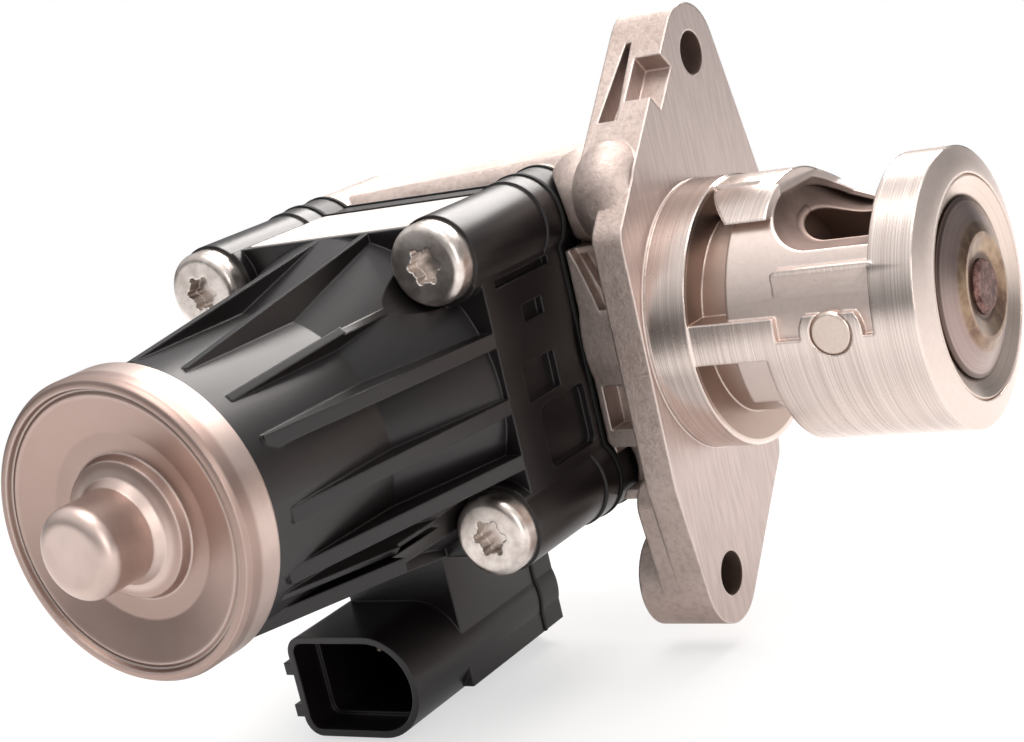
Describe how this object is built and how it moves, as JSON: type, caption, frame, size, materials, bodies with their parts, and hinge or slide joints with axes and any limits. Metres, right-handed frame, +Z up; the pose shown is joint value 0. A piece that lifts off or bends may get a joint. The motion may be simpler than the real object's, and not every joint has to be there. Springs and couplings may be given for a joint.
{
  "type": "exhaust gas recirculation valve",
  "caption": "Flange-mounted exhaust gas recirculation valve: a geared motor turns a spiral cam that pushes a spring-loaded poppet off its seat at the cartridge's end.",
  "frame": {"origin": "where the valve axis crosses the machined face of the mounting flange", "axes": "+X along the valve axis out through the cartridge, +Z up, the motor stands out towards -Y"},
  "size_m": [0.1153, 0.1279, 0.096],
  "materials": {
    "cast_metal": "fine sand-cast",
    "seat_steel": "turned",
    "poppet_steel": "turned",
    "stem_steel": "ground",
    "guide_bronze": "machined",
    "black_plastic": "moulded, glass filled",
    "gear_case_plastic": "moulded",
    "seal_rubber": "matt",
    "label_film": "satin film",
    "screw_zinc": "zinc plated",
    "cap_steel": "pressed sheet",
    "motor_steel": "drawn sheet",
    "magnet_ferrite": "sintered",
    "armature_stack": "laminated",
    "copper": "bar",
    "bearing_steel": "ground",
    "gear_steel": "sintered",
    "gear_plastic": "moulded",
    "spring_steel": "drawn wire",
    "board_laminate": "solder mask",
    "contact_tin": "plated"
  },
  "bodies": {
    "housing": {"valve_housing": "cast_metal", "seat_insert": "seat_steel", "stem_guide": "guide_bronze", "stem_seal": "seal_rubber", "channel_plug": "seat_steel", "return_spring": "spring_steel", "gear_case": "gear_case_plastic", "actuator_cover": "black_plastic", "cover_gasket": "seal_rubber", "housing_gasket": "seal_rubber", "blank_label": "label_film", "cover_screws": "screw_zinc", "ring_gear": "gear_steel", "output_bearing": "bearing_steel", "sensor_board": "board_laminate", "terminal_pins": "contact_tin", "motor_can": "motor_steel", "motor_end_cap": "cap_steel", "motor_magnets": "magnet_ferrite", "brush_carrier": "gear_case_plastic", "motor_front_bearing": "bearing_steel", "motor_rear_bearing": "bearing_steel"},
    "rotor": {"motor_shaft": "bearing_steel", "armature": "armature_stack", "commutator": "copper", "sun_pinion": "gear_steel"},
    "output": {"planet_carrier": "gear_steel", "planet_pins": "bearing_steel", "output_shaft": "stem_steel", "cam_disc": "gear_plastic", "sensor_magnet": "magnet_ferrite"},
    "planet_1": {"planet_gear_1": "gear_plastic"},
    "planet_2": {"planet_gear_2": "gear_plastic"},
    "planet_3": {"planet_gear_3": "gear_plastic"},
    "stem": {"valve_stem": "stem_steel", "poppet": "poppet_steel", "spring_retainer": "motor_steel", "stem_yoke": "gear_steel", "follower_pin": "bearing_steel"}
  },
  "joints": [
    {"name": "output_turn", "type": "hinge", "parent": "housing", "child": "output", "pos_m": [-0.0419, -0.0155, 0], "axis": [0, -1, 0], "range_deg": [0, 200]},
    {"name": "rotor_spin", "type": "hinge", "parent": "housing", "child": "rotor", "pos_m": [-0.0419, -0.06, 0], "axis": [0, -1, 0], "range_deg": [0, 1000]},
    {"name": "planet_1_spin", "type": "hinge", "parent": "output", "child": "planet_1", "pos_m": [-0.0299, -0.0297, 0], "axis": [0, -1, 0], "range_deg": [-534, 0]},
    {"name": "planet_2_spin", "type": "hinge", "parent": "output", "child": "planet_2", "pos_m": [-0.0479, -0.0297, 0.01039], "axis": [0, -1, 0], "range_deg": [-534, 0]},
    {"name": "planet_3_spin", "type": "hinge", "parent": "output", "child": "planet_3", "pos_m": [-0.0479, -0.0297, -0.01039], "axis": [0, -1, 0], "range_deg": [-534, 0]},
    {"name": "valve_lift", "type": "slide", "parent": "housing", "child": "stem", "axis": [1, 0, 0], "range_m": [0, 0.007], "stiffness_N_per_m": 800, "springref_m": -0.01, "deforming": ["return_spring"]}
  ],
  "couplings": [
    {"joint": "output_turn", "follows": "valve_lift", "rad_per_m": 498.67},
    {"joint": "rotor_spin", "follows": "valve_lift", "rad_per_m": 2493.3},
    {"joint": "planet_1_spin", "follows": "valve_lift", "rad_per_m": -1329.8},
    {"joint": "planet_2_spin", "follows": "valve_lift", "rad_per_m": -1329.8},
    {"joint": "planet_3_spin", "follows": "valve_lift", "rad_per_m": -1329.8}
  ]
}
